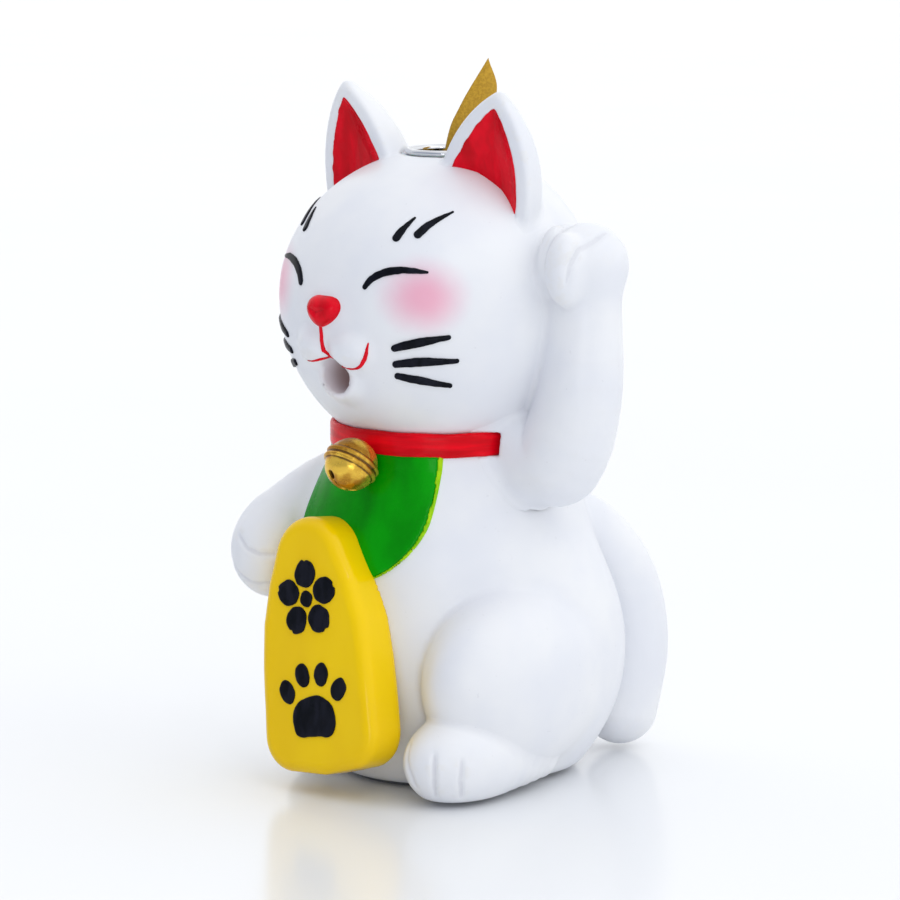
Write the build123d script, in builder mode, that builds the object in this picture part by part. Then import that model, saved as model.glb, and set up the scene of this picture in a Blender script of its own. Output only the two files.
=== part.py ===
from build123d import *
import os
from math import asin, degrees, radians, sin, sqrt

# A beckoning cat: a hollow cast figure with one paw raised and a gold coin held in the other.
# A chrome-lipped cup drops into the crown of the head, and a gilded leaf stands loose in the cup.
# Millimetres. +Z is up, the cat faces -Y, and its own left side is +X.
# The origin is on the floor, straight below the neck.

os.makedirs("parts", exist_ok=True)

# ---- driving dimensions ------------------------------------------------------------------

WALL = 4.0                       # thickness of the cast wall

HEAD_CENTRE = (0, 0, 144.5)
HEAD_RADIUS = 47.3               # seen from above
HEAD_RISE = 43.5                 # from the centre to the crown
HEAD_DROP = 49.0                 # from the centre to the underside
MUZZLE_CENTRE = (0, -38, 134)
MUZZLE_RADII = (15.0, 11.3, 11.5)

BELLY_CENTRE = (0, 8, 44)
BELLY_RADII = (42.5, 46.5)       # across and along
BELLY_RISE = 62.0
BELLY_DROP = 75.0
BODY_BOTTOM = 1.2                # the rim stands on the felt
CHEST_START, CHEST_START_RADIUS = (0, 3, 68), 37.0
CHEST_END, CHEST_END_RADIUS = (0, 0, 94), 31.0
NECK_RADIUS = 31.0
NECK_BORE = 15.0

COLLAR_BOTTOM, COLLAR_TOP = 99.7, 107.4
COLLAR_THICKNESS = 1.6

CUP_CENTRE = (0, 3)
CUP_RADIUS = 10.5
CUP_WALL = 0.5
CUP_BOTTOM = 127.0
CUP_CORNER = 6.0
LIP_RADIUS = 11.9
LIP_BOTTOM, LIP_TOP = 186.3, 188.2
SEAT_HEIGHT = 185.4              # flat land around the hole in the crown
SEAT_RADIUS = 12.8
GASKET_RADIUS = 11.7
GASKET_FLANGE = 0.8
GASKET_DEPTH = 5.0
CUP_CLEARANCE = 0.08

BASE_CENTRE = BELLY_CENTRE[:2]
BASE_HOLE = (22, 24)
BASE_PLATE = (28, 30)
BASE_PLATE_THICKNESS = 2.8
BASE_PLATE_TOP = BODY_BOTTOM + BASE_PLATE_THICKNESS
FELT = (31, 34)

EAR_BASE = (24.3, -5.5, 174.0)   # of the ear on the +X side
EAR_TIP = (31.6, -6.5, 207.4)
EAR_HALF_WIDTH = 16.6
EAR_FACE_TURN = 8.0              # the front of the ear turns outward by this many degrees
EAR_FACE_DEPTH = 2.5             # from the ear's axis forward to its flat front
EAR_RIM = 4.0
EAR_POCKET = 1.6
EAR_ROOT = 14.0
EAR_FLATTENING = 0.95

COIN_CENTRE = (-3.8, -43.5, 43.5)
COIN_TURN, COIN_LEAN, COIN_TILT = 3.0, -6.0, -10.0
COIN_TOP = (0, 38.3)
COIN_TOP_RADIUS, COIN_TOP_ARC = 13.2, 63.0             # radius, and the angle the arc sweeps
COIN_SHOULDER_RADIUS, COIN_SHOULDER_ARC = 86.0, 25.0
COIN_SIDE_LENGTH = 21.1
COIN_CORNER_RADIUS, COIN_CORNER_ARC = 10.5, 80.0
COIN_FOOT_ARC = 180 - COIN_TOP_ARC - COIN_SHOULDER_ARC - COIN_CORNER_ARC
COIN_HALF_THICKNESS = 8.0
COIN_EDGE = 3.5
BLOSSOM_HEIGHT, PRINT_HEIGHT = 14.0, -17.0
RELIEF = 0.7                     # height of painted relief on the coin and the face

BIB_CENTRE_HEIGHT = 84.0
BIB_HALF_WIDTH = 23.4
BIB_DROP = 21.6                  # below the centre height
BIB_THICKNESS = 1.2
BIB_TRIM = 1.0

BELL_CENTRE = (2.2, -39.6, 97.5)
BELL_RADIUS = 8.0
BELL_LEAN, BELL_TURN = -40, -19  # the slot faces down and forward
BELL_HOLE_TURN = 33              # from the middle of the slot to the hole at each end

MOUTH_CENTRE = (0, 124.4)        # across, up
MOUTH_RADII = (5.2, 5.3)
NOSE_CENTRE = (0, -47.0, 143.4)
NOSE_RADII = (5.4, 3.9, 5.0)

# The leaf stands behind the middle of the cup in a plane turned about the upright, and leans outward.
# Its outline runs across that plane from the cup's axis, and up.
LEAF_TURN = 43.25
LEAF_PLANE_OFFSET = 5.0          # behind the cup's axis
LEAF_THICKNESS = 0.8
LEAF_FOOT, LEAF_TIP = (-3.0, 131.0), (13.0, 214.6)
LEAF_INNER_EDGE = ((-3.2, 160.0), (0.3, 188.5), (5.0, 201.0))
LEAF_OUTER_EDGE = ((15.2, 205.5), (7.5, 188.0), (2.8, 162.0))


# ---- shapes that several pieces share ------------------------------------------------------

def ellipsoid(centre, radii):
    """A ball stretched to three radii."""
    return Pos(*centre) * scale(Sphere(1), by=tuple(radii))


def egg(centre, radii, rise, drop):
    """An upright oval egg, with its own height above and below the centre."""
    middle = Plane.XY.offset(centre[2])
    upper = split(ellipsoid(centre, (*radii, rise)), bisect_by=middle, keep=Keep.TOP)
    lower = split(ellipsoid(centre, (*radii, drop)), bisect_by=middle, keep=Keep.BOTTOM)
    return upper + lower


def limb(start, end, start_radius, end_radius):
    """A cone between two balls, meeting each without a corner."""
    path = Vector(*end) - Vector(*start)
    turn = degrees(asin((start_radius - end_radius) / path.length))
    with BuildPart() as rounded:
        with BuildSketch(Plane.XZ):
            with BuildLine():
                near = CenterArc((0, 0), start_radius, -90, 90 + turn)
                far = CenterArc((0, path.length), end_radius, turn, 90 - turn)
                Line(near @ 1, far @ 0)
                Line(far @ 1, near @ 0)
            make_face()
        revolve(axis=Axis.Z)
    return Plane(origin=start, z_dir=path).location * rounded.part


def oval_prism(radii, bottom, top):
    """An upright oval block on the centre line of the base."""
    with BuildPart() as block:
        with BuildSketch(Plane.XY.offset(bottom)):
            with Locations(BASE_CENTRE):
                Ellipse(*radii)
        extrude(amount=top - bottom)
    return block.part


def head_egg(growth=0.0):
    """The head without its muzzle, grown outward all over."""
    radius = HEAD_RADIUS + growth
    return egg(HEAD_CENTRE, (radius, radius), HEAD_RISE + growth, HEAD_DROP + growth)


def body_form(growth=0.0):
    """The belly and chest without the legs, grown outward all over."""
    radii = [radius + growth for radius in BELLY_RADII]
    belly = egg(BELLY_CENTRE, radii, BELLY_RISE + growth, BELLY_DROP + growth)
    return belly + limb(CHEST_START, CHEST_END, CHEST_START_RADIUS + growth, CHEST_END_RADIUS + growth)


head_form = head_egg()
head_hollow = head_egg(-WALL)
muzzle = ellipsoid(MUZZLE_CENTRE, MUZZLE_RADII)
chest = body_form()

thighs = [
    ellipsoid((34.5, -3.5, 33.5), (20, 34, 29)),
    ellipsoid((26, 15, 35), (26, 32, 31)),
    ellipsoid((-31, 2, 33), (19, 30, 28)),
    ellipsoid((-24, 15, 35), (24, 32, 31)),
]

# ---- body ----------------------------------------------------------------------------------

with BuildPart() as torso_solid:
    add(chest)
    for thigh in thighs:
        add(thigh)
    split(bisect_by=Plane.XY.offset(BODY_BOTTOM), keep=Keep.TOP)
    with BuildSketch(Plane.XY.offset(CHEST_END[2])):
        Circle(NECK_RADIUS)
    extrude(amount=COLLAR_TOP - CHEST_END[2])
    with BuildSketch(Plane.XY.offset(COLLAR_BOTTOM)):
        Circle(3 * NECK_RADIUS)
        Circle(NECK_RADIUS, mode=Mode.SUBTRACT)
    extrude(amount=BELLY_RISE, mode=Mode.SUBTRACT)
    add(head_form, mode=Mode.SUBTRACT)

body_hollow = split(
    ellipsoid(BELLY_CENTRE, (BELLY_RADII[0] - WALL, BELLY_RADII[1] - WALL, BELLY_RISE - WALL)),
    bisect_by=Plane.XY.offset(BASE_PLATE_TOP + 2), keep=Keep.TOP)

hole_form = oval_prism(BASE_HOLE, 0, BELLY_CENTRE[2])
recess_form = oval_prism(BASE_PLATE, 0, BASE_PLATE_TOP)
plate_form = oval_prism(BASE_PLATE, BODY_BOTTOM, BASE_PLATE_TOP)
felt_form = oval_prism(FELT, 0, BODY_BOTTOM)

with BuildPart() as torso_shell:
    add(torso_solid.part)
    add(body_hollow, mode=Mode.SUBTRACT)
    with BuildSketch(Plane.XY.offset(BELLY_CENTRE[2])):
        Circle(NECK_BORE)
    extrude(amount=BELLY_RISE + 5, mode=Mode.SUBTRACT)
    add(hole_form, mode=Mode.SUBTRACT)
    add(recess_form, mode=Mode.SUBTRACT)

with BuildPart() as base_plate:
    add(plate_form)

with BuildPart() as base_felt:
    add(felt_form)

# ---- head: a hollow egg, open at the neck, the crown and the mouth ----------------------------

with BuildPart() as head_shell:
    add(head_form)
    add(muzzle)
    add(head_hollow, mode=Mode.SUBTRACT)
    with BuildSketch(Plane.XY.offset(HEAD_CENTRE[2])):
        Circle(NECK_BORE)
    extrude(amount=-HEAD_DROP, mode=Mode.SUBTRACT)
    with BuildSketch(Plane.XY.offset(HEAD_CENTRE[2])):
        with Locations(CUP_CENTRE):
            Circle(GASKET_RADIUS)
    extrude(amount=HEAD_RISE + 2, mode=Mode.SUBTRACT)
    with BuildSketch(Plane.XY.offset(SEAT_HEIGHT)):
        with Locations(CUP_CENTRE):
            Circle(SEAT_RADIUS)
    extrude(amount=HEAD_RISE, mode=Mode.SUBTRACT)
    with BuildSketch(Plane.XZ.offset(HEAD_RADIUS / 2)):
        with Locations(MOUTH_CENTRE):
            Ellipse(*MOUTH_RADII)
    extrude(amount=HEAD_RADIUS, mode=Mode.SUBTRACT)

# ---- ears: pointed arches turned about their own axes, flat in front, with a painted pocket ----


def ear_outline(half_width, height):
    """Half of a pointed arch beside the vertical axis, with a straight root below it."""
    arch = (half_width**2 + height**2) / (2 * half_width)
    lean = degrees(asin(height / arch))
    with BuildLine() as outline:
        side = CenterArc((half_width - arch, 0), arch, 0, lean)
        Polyline(side @ 0, (half_width, -EAR_ROOT), (0, -EAR_ROOT), (0, height))
    return outline.line


def arch_block(half_width, height, thickness):
    """A flat pointed arch, standing on the drawing plane."""
    half_outline = ear_outline(half_width, height)
    with BuildPart() as block:
        with BuildSketch():
            make_face(half_outline.edges())
            mirror(about=Plane.YZ)
        extrude(amount=thickness)
    return block.part


def arch_cone(half_width, height):
    """A pointed arch turned about its upright axis, then flattened a little front to back."""
    half_outline = ear_outline(half_width, height)
    with BuildPart() as cone:
        with BuildSketch(Plane.XZ):
            make_face(half_outline.edges())
        revolve(axis=Axis.Z)
    return scale(cone.part, by=(1, EAR_FLATTENING, 1))


def ear_pieces(side):
    """The white ear and its red lining, for side +1 or -1."""
    base = Vector(side * EAR_BASE[0], *EAR_BASE[1:])
    tip = Vector(side * EAR_TIP[0], *EAR_TIP[1:])
    height = (tip - base).length
    forward = Vector(0, -1, 0).rotate(Axis.Z, side * EAR_FACE_TURN)
    across = (tip - base).cross(forward)
    upright = Plane(origin=base, x_dir=across, z_dir=tip - base)
    front = Plane(origin=base, x_dir=across, z_dir=across.cross(tip - base))    # faces forward
    inner = (EAR_HALF_WIDTH - EAR_RIM, height - 1.2 * EAR_RIM)
    pocket_floor = front.offset(EAR_FACE_DEPTH - EAR_POCKET).location
    cone_form = upright.location * arch_cone(EAR_HALF_WIDTH, height)
    pocket = pocket_floor * arch_block(*inner, 2 * EAR_POCKET)
    lining_form = pocket_floor * arch_block(*inner, EAR_POCKET / 2)
    with BuildPart() as ear:
        add(cone_form)
        split(bisect_by=front.offset(EAR_FACE_DEPTH), keep=Keep.BOTTOM)
        add(pocket, mode=Mode.SUBTRACT)
        add(head_form, mode=Mode.SUBTRACT)
    with BuildPart() as lining:
        add(lining_form)
        add(head_form, mode=Mode.SUBTRACT)
    return ear, lining


ear_left, ear_lining_left = ear_pieces(+1)
ear_right, ear_lining_right = ear_pieces(-1)

# ---- arms, feet and tail --------------------------------------------------------------------

with BuildPart() as collar:
    with BuildSketch(Plane.XY.offset(COLLAR_BOTTOM)):
        Circle(NECK_RADIUS + COLLAR_THICKNESS)
        Circle(NECK_RADIUS, mode=Mode.SUBTRACT)
    extrude(amount=COLLAR_TOP - COLLAR_BOTTOM)
    outer_edges = collar.edges().filter_by(GeomType.CIRCLE).group_by(SortBy.RADIUS)[-1]
    fillet(outer_edges, radius=COLLAR_THICKNESS / 3)
    add(head_form, mode=Mode.SUBTRACT)

raised_arm_forms = [
    limb((52.0, 5.5, 146.0), (51.5, 5.5, 124.0), 10.4, 12.4),
    limb((51.5, 5.5, 124.0), (45.5, 5.0, 105.0), 12.4, 13.6),
    limb((45.5, 5.0, 105.0), (16.0, 2.0, 112.0), 13.6, 12.0),
    ellipsoid((53.5, 5.0, 155.5), (12.0, 13.0, 12.0)),
    ellipsoid((44.5, 4.5, 157.5), (5.0, 6.0, 7.5)),
    ellipsoid((48.5, -3.5, 157.0), (5.2, 6.2, 7.7)),
    ellipsoid((55.5, -6.0, 156.5), (5.4, 6.4, 7.9)),
]
tail_forms = [
    limb((20.5, 60.0, 13.5), (22.0, 61.5, 35.0), 12.5, 12.2),
    limb((22.0, 61.5, 35.0), (20.0, 57.5, 56.0), 12.2, 11.2),
    limb((20.0, 57.5, 56.0), (13.5, 45.0, 74.0), 11.2, 8.5),
]

with BuildPart() as raised_arm:
    for form in raised_arm_forms:
        add(form)
    add(head_form, mode=Mode.SUBTRACT)
    add(torso_solid.part, mode=Mode.SUBTRACT)
    with BuildSketch(Plane.XY.offset(COLLAR_BOTTOM)):
        Circle(NECK_RADIUS + COLLAR_THICKNESS)
    extrude(amount=COLLAR_TOP - COLLAR_BOTTOM, mode=Mode.SUBTRACT)

with BuildPart() as tail:
    for form in tail_forms:
        add(form)
    add(torso_solid.part, mode=Mode.SUBTRACT)

# ---- coin: a thick rounded slab that leans on the belly, with a raised ornament ------------------

coin_place = Pos(*COIN_CENTRE) * Rot(Z=COIN_TURN) * Rot(X=COIN_LEAN) * Rot(Y=COIN_TILT)
coin_face = Plane(coin_place * Rot(X=90))

with BuildPart() as coin_slab:
    with BuildSketch(coin_face):
        with BuildLine():
            top = JernArc(COIN_TOP, (1, 0), COIN_TOP_RADIUS, -COIN_TOP_ARC)
            shoulder = JernArc(top @ 1, top % 1, COIN_SHOULDER_RADIUS, -COIN_SHOULDER_ARC)
            side = Line(shoulder @ 1, shoulder @ 1 + COIN_SIDE_LENGTH * (shoulder % 1))
            corner = JernArc(side @ 1, side % 1, COIN_CORNER_RADIUS, -COIN_CORNER_ARC)
            foot_radius = (corner @ 1).X / sin(radians(COIN_FOOT_ARC))
            foot = JernArc(corner @ 1, corner % 1, foot_radius, -COIN_FOOT_ARC)
            Line(foot @ 1, COIN_TOP)
        make_face()
        mirror(about=Plane.YZ)
    extrude(amount=COIN_HALF_THICKNESS, both=True)
    faces = coin_slab.faces().sort_by(Axis(coin_face.origin, coin_face.z_dir))
    fillet(faces[0].edges() + faces[-1].edges(), radius=COIN_EDGE)

# ---- bib: a thin cape over the chest with a lighter edge -----------------------------------------

chest_skin = body_form(BIB_THICKNESS)


def bib_prism(inset):
    """A long block with the outline of the bib: straight sides and a round bottom."""
    half_width = BIB_HALF_WIDTH - inset
    with BuildPart() as block:
        with BuildSketch(Plane.XZ):
            with Locations((0, BIB_CENTRE_HEIGHT)):
                Ellipse(half_width, BIB_DROP - inset)
            with Locations((0, (BIB_CENTRE_HEIGHT + COLLAR_BOTTOM) / 2)):
                Rectangle(2 * half_width, COLLAR_BOTTOM - BIB_CENTRE_HEIGHT)
        extrude(amount=2 * BELLY_RADII[1])
        split(bisect_by=Plane.XY.offset(COLLAR_BOTTOM), keep=Keep.BOTTOM)
    return block.part


bib_block, bib_inner_block = bib_prism(0), bib_prism(BIB_TRIM)

with BuildPart() as bib:
    add(chest_skin)
    add(bib_inner_block, mode=Mode.INTERSECT)
    add(torso_solid.part, mode=Mode.SUBTRACT)
    add(head_form, mode=Mode.SUBTRACT)

with BuildPart() as bib_trim:
    add(chest_skin)
    add(bib_block, mode=Mode.INTERSECT)
    add(bib_inner_block, mode=Mode.SUBTRACT)
    add(torso_solid.part, mode=Mode.SUBTRACT)
    add(head_form, mode=Mode.SUBTRACT)

with BuildPart() as coin:
    add(coin_slab.part)
    for neighbour in (torso_solid, bib, bib_trim):
        add(neighbour.part, mode=Mode.SUBTRACT)

# A five-petalled blossom over a paw print.
with BuildPart() as coin_ornament:
    with BuildSketch(coin_face.offset(COIN_HALF_THICKNESS)):
        with Locations((0, BLOSSOM_HEIGHT)):
            with PolarLocations(7.2, 5, start_angle=90):
                Circle(3.9)
            Circle(2.2)
        with Locations((0, PRINT_HEIGHT - 4)):
            Ellipse(8.0, 6.2)
        for across, up in ((-10, 3.5), (-3.6, 8.5), (3.6, 8.5), (10, 3.5)):
            with Locations((across, PRINT_HEIGHT + up)):
                Ellipse(2.6, 3.5)
    extrude(amount=RELIEF)

holding_arm_forms = [
    limb((-24.0, -5.0, 86.0), (-38.0, -26.0, 73.0), 13.0, 12.6),
    ellipsoid((-37.5, -31.0, 68.5), (12.6, 13.0, 13.2)),
]
foot_left_forms = [
    limb((36.0, -29.0, 10.5), (38.0, -2.0, 8.0), 10.3, 7.5),
    ellipsoid((35.5, -27.0, 10.0), (14.0, 18.0, 11.0)),
]
foot_right_forms = [
    limb((-27.0, -20.0, 9.5), (-33.0, 4.0, 8.0), 9.0, 7.5),
    ellipsoid((-27.0, -18.0, 9.5), (12.0, 15.0, 10.0)),
]

with BuildPart() as holding_arm:
    for form in holding_arm_forms:
        add(form)
    for neighbour in (torso_solid, bib, bib_trim, coin_slab):
        add(neighbour.part, mode=Mode.SUBTRACT)

with BuildPart() as foot_left:
    for form in foot_left_forms:
        add(form)
    split(bisect_by=Plane.XY.offset(BODY_BOTTOM), keep=Keep.TOP)
    add(torso_solid.part, mode=Mode.SUBTRACT)

with BuildPart() as foot_right:
    for form in foot_right_forms:
        add(form)
    split(bisect_by=Plane.XY.offset(BODY_BOTTOM), keep=Keep.TOP)
    add(torso_solid.part, mode=Mode.SUBTRACT)
    add(coin_slab.part, mode=Mode.SUBTRACT)

# ---- bell: a ball with a double band, and a slot between two round holes ---------------------------

bell_plane = Plane(Pos(*BELL_CENTRE) * Rot(X=BELL_LEAN) * Rot(Z=BELL_TURN))
with BuildPart() as bell:
    with Locations(bell_plane.location):
        Sphere(BELL_RADIUS)
        for height in (-1.0, 1.0):
            with Locations((0, 0, height)):
                Torus(sqrt(BELL_RADIUS**2 - height**2), 0.6)
        for turn in (-BELL_HOLE_TURN, BELL_HOLE_TURN):
            with Locations(Rot(X=turn) * Pos(0, 0, -BELL_RADIUS)):
                Cylinder(1.4, 5, mode=Mode.SUBTRACT)
        with Locations((0, 0, -BELL_RADIUS)):
            Box(1.0, 0.98 * BELL_RADIUS, 5, mode=Mode.SUBTRACT)
    with BuildSketch(Plane.XY.offset(COLLAR_BOTTOM)):
        Circle(NECK_RADIUS + COLLAR_THICKNESS)
    extrude(amount=COLLAR_TOP - COLLAR_BOTTOM, mode=Mode.SUBTRACT)
    add(chest_skin, mode=Mode.SUBTRACT)

# ---- face: raised painted lines that follow the head ---------------------------------------------

head_skin = head_egg(RELIEF)
muzzle_skin = ellipsoid(MUZZLE_CENTRE, [radius + RELIEF for radius in MUZZLE_RADII])
face_skin = head_skin + muzzle_skin
face_form = head_form + muzzle


def face_line(arcs, width):
    """Strokes of one width, drawn from the front and raised from the face, on both sides."""
    with BuildPart() as line:
        with BuildSketch(Plane.XZ.offset(5)):
            for arc in arcs:
                SlotArc(arc, width)
            mirror(about=Plane.YZ)
        extrude(amount=HEAD_RADIUS + 10)
        add(face_skin, mode=Mode.INTERSECT)
        add(face_form, mode=Mode.SUBTRACT)
    return line


eye_lines = face_line([ThreePointArc((13.2, 151.8), (20.0, 156.6), (28.6, 156.4))], 1.7)
brow_marks = face_line([
    ThreePointArc((18.0, 165.0), (18.5, 168.0), (20.0, 171.0)),
    ThreePointArc((23.0, 166.0), (24.4, 169.4), (27.0, 172.4)),
], 1.4)
whisker_marks = face_line([
    ThreePointArc((21.3, 134.2), (27.8, 136.2), (34.4, 137.7)),
    ThreePointArc((20.7, 129.3), (27.8, 130.2), (34.7, 130.5)),
    ThreePointArc((20.3, 125.8), (26.0, 124.7), (31.4, 123.0)),
], 1.8)
mouth_lines = face_line([
    ThreePointArc((0.7, 130.6), (7.6, 127.4), (14.3, 134.4)),
    ThreePointArc((0.1, 138.0), (0.0, 134.0), (0.1, 130.4)),
], 1.2)

nose_form = ellipsoid(NOSE_CENTRE, NOSE_RADII)
with BuildPart() as nose:
    add(nose_form)
    add(head_form, mode=Mode.SUBTRACT)
    add(muzzle, mode=Mode.SUBTRACT)

# ---- cup, its gasket and the leaf ------------------------------------------------------------------

with BuildPart() as cup_shell:
    with BuildSketch(Plane.XZ):
        with BuildLine():
            floor = Line((0, CUP_BOTTOM), (CUP_RADIUS - CUP_CORNER, CUP_BOTTOM))
            corner = RadiusArc(floor @ 1, (CUP_RADIUS, CUP_BOTTOM + CUP_CORNER), -CUP_CORNER)
            wall = Line(corner @ 1, (CUP_RADIUS, LIP_BOTTOM))
            under = Line(wall @ 1, (LIP_RADIUS - 0.7, LIP_BOTTOM))
            lip_edge = (LIP_RADIUS, (LIP_BOTTOM + LIP_TOP) / 2)
            roll = ThreePointArc(under @ 1, lip_edge, (LIP_RADIUS - 0.7, LIP_TOP))
            inner_radius = CUP_RADIUS - CUP_WALL
            top = RadiusArc(roll @ 1, (inner_radius, LIP_TOP - 1.2), -1.4)
            bore = Line(top @ 1, (inner_radius, CUP_BOTTOM + CUP_CORNER))
            inner_floor = CUP_BOTTOM + CUP_WALL
            hollow = RadiusArc(bore @ 1, (CUP_RADIUS - CUP_CORNER, inner_floor), CUP_CORNER - CUP_WALL)
            Polyline(hollow @ 1, (0, inner_floor), (0, CUP_BOTTOM))
        make_face()
    revolve(axis=Axis.Z)

with BuildPart() as steel_cup:
    with Locations(CUP_CENTRE):
        add(cup_shell.part)

with BuildPart() as cup_gasket:
    with BuildSketch(Plane.XY.offset(SEAT_HEIGHT - GASKET_DEPTH)):
        with Locations(CUP_CENTRE):
            Circle(GASKET_RADIUS)
            Circle(CUP_RADIUS + CUP_CLEARANCE, mode=Mode.SUBTRACT)
    extrude(amount=GASKET_DEPTH)
    with BuildSketch(Plane.XY.offset(SEAT_HEIGHT)):
        with Locations(CUP_CENTRE):
            Circle(SEAT_RADIUS)
            Circle(CUP_RADIUS + CUP_CLEARANCE, mode=Mode.SUBTRACT)
    extrude(amount=GASKET_FLANGE)

leaf_plane = Plane(Pos(*CUP_CENTRE, 0) * Rot(Z=LEAF_TURN) * Rot(X=90)).offset(-LEAF_PLANE_OFFSET)
with BuildPart() as gold_leaf:
    with BuildSketch(leaf_plane):
        with BuildLine():
            Spline(LEAF_FOOT, *LEAF_INNER_EDGE, LEAF_TIP)
            Spline(LEAF_TIP, *LEAF_OUTER_EDGE, LEAF_FOOT)
        make_face()
    extrude(amount=LEAF_THICKNESS)

# ---- write every piece -------------------------------------------------------------------------------

pieces = {
    "torso_shell": torso_shell, "base_plate": base_plate, "base_felt": base_felt,
    "head_shell": head_shell, "ear_left": ear_left, "ear_right": ear_right,
    "ear_lining_left": ear_lining_left, "ear_lining_right": ear_lining_right,
    "raised_arm": raised_arm, "holding_arm": holding_arm,
    "foot_left": foot_left, "foot_right": foot_right, "tail": tail,
    "collar": collar, "bell": bell, "bib": bib, "bib_trim": bib_trim,
    "coin": coin, "coin_ornament": coin_ornament,
    "nose": nose, "mouth_lines": mouth_lines, "eye_lines": eye_lines,
    "brow_marks": brow_marks, "whisker_marks": whisker_marks,
    "steel_cup": steel_cup, "cup_gasket": cup_gasket, "gold_leaf": gold_leaf,
}

for name, piece in pieces.items():
    piece.part.label = name
    export_step(piece.part, f"parts/{name}.step")
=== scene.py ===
import math
import bpy
import numpy as np
from mathutils import Matrix, Vector


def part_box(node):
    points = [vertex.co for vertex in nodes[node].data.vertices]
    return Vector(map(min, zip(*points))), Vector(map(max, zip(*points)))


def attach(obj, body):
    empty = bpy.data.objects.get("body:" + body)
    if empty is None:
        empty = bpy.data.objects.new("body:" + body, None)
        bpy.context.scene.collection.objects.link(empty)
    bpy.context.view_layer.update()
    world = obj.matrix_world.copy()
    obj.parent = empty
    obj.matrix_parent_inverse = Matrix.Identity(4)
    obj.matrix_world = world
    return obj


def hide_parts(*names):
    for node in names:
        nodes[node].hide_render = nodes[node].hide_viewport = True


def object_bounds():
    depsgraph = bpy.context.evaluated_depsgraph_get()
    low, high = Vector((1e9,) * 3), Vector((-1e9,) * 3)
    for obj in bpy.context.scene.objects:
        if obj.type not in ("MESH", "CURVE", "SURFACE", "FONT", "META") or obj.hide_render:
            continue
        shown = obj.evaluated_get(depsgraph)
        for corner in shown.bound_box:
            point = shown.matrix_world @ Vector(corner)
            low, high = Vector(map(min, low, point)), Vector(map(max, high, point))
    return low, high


# A beckoning cat. The cast pieces are sculpted as distance fields in millimetres, in the frame of
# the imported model, and meshed; each stands for its CAD node. Metres are used only for what
# Blender reads: its meshes, shaders, lights and camera.

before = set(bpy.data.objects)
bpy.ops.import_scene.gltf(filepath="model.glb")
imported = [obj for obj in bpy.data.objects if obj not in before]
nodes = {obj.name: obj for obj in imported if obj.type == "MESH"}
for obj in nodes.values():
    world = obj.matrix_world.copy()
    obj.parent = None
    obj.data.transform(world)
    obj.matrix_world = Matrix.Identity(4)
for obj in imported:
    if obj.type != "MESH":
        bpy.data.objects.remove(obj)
CAD_LOW, CAD_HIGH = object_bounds()
MM = 0.001


def box_mm(node):
    """Lowest and highest corner of a CAD node, in millimetres."""
    low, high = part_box(node)
    return np.array(low) / MM, np.array(high) / MM


# ---- distance fields -----------------------------------------------------------------------------

def stretched_ball(q, radii):
    """Roughly the signed distance to an ellipsoid around the origin."""
    k0 = np.linalg.norm(q / radii, axis=1)
    k1 = np.linalg.norm(q / (radii * radii), axis=1)
    return k0 * (k0 - 1) / np.maximum(k1, 1e-9)


def ellipsoid(P, centre, radii):
    return stretched_ball(P - np.array(centre, float), np.array(radii, float))


def capsule(P, a, b, ra, rb):
    a, b = np.array(a, float), np.array(b, float)
    ab = b - a
    t = np.clip(((P - a) @ ab) / max(ab @ ab, 1e-9), 0, 1)
    return np.linalg.norm(P - (a + t[:, None] * ab), axis=1) - (ra + (rb - ra) * t)


def chain(P, points, radii):
    """A tube through points, with a radius at each."""
    d = capsule(P, points[0], points[1], radii[0], radii[1])
    for i in range(1, len(points) - 1):
        d = np.minimum(d, capsule(P, points[i], points[i + 1], radii[i], radii[i + 1]))
    return d


def through(points, count):
    """More points on a smooth curve through the given ones; any further columns follow."""
    points = np.array(points, float)
    t = np.linspace(0, len(points) - 1, count)
    i = np.clip(t.astype(int), 0, len(points) - 2)
    f = (t - i)[:, None]
    ends = np.vstack([2 * points[0] - points[1], points, 2 * points[-1] - points[-2]])
    p0, p1, p2, p3 = ends[i], ends[i + 1], ends[i + 2], ends[i + 3]
    return 0.5 * (2 * p1 + (p2 - p0) * f + (2 * p0 - 5 * p1 + 4 * p2 - p3) * f**2
                  + (3 * p1 - p0 - 3 * p2 + p3) * f**3)


def limb(P, stations, count=14):
    """A smooth tube; each station is x, y, z and the radius there."""
    path = through(stations, count)
    return chain(P, path[:, :3], path[:, 3])


def inside_outline(x, y, points):
    """Signed distance to a closed outline that is the same on both sides of x = 0."""
    x = np.abs(x)
    best = np.full(len(x), 1e9)
    odd = np.zeros(len(x), bool)
    for (ax, ay), (bx, by) in zip(points[:-1], points[1:]):
        ex, ey = bx - ax, by - ay
        t = np.clip(((x - ax) * ex + (y - ay) * ey) / (ex * ex + ey * ey), 0, 1)
        best = np.minimum(best, (x - ax - t * ex) ** 2 + (y - ay - t * ey) ** 2)
        cross = ((ay > y) != (by > y)) & (x < ax + (y - ay) / (ey if ey else 1e-9) * ex)
        odd ^= cross
    return np.sqrt(best) * np.where(odd, -1, 1)


def smin(a, b, k):
    """The lower of two fields, with a fillet of about k where they meet."""
    h = np.clip(0.5 + 0.5 * (b - a) / k, 0, 1)
    return b + (a - b) * h - k * h * (1 - h)


def smax(a, b, k):
    return -smin(-a, -b, k)


def column(P, centre, radius):
    return np.hypot(P[:, 0] - centre[0], P[:, 1] - centre[1]) - radius


def rounded(a, b, edge):
    """Two half spaces meeting in a round edge."""
    a, b = a + edge, b + edge
    return np.hypot(np.maximum(a, 0), np.maximum(b, 0)) + np.minimum(np.maximum(a, b), 0) - edge


def turn(axis, angle):
    return np.array(Matrix.Rotation(math.radians(angle), 3, axis))


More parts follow.
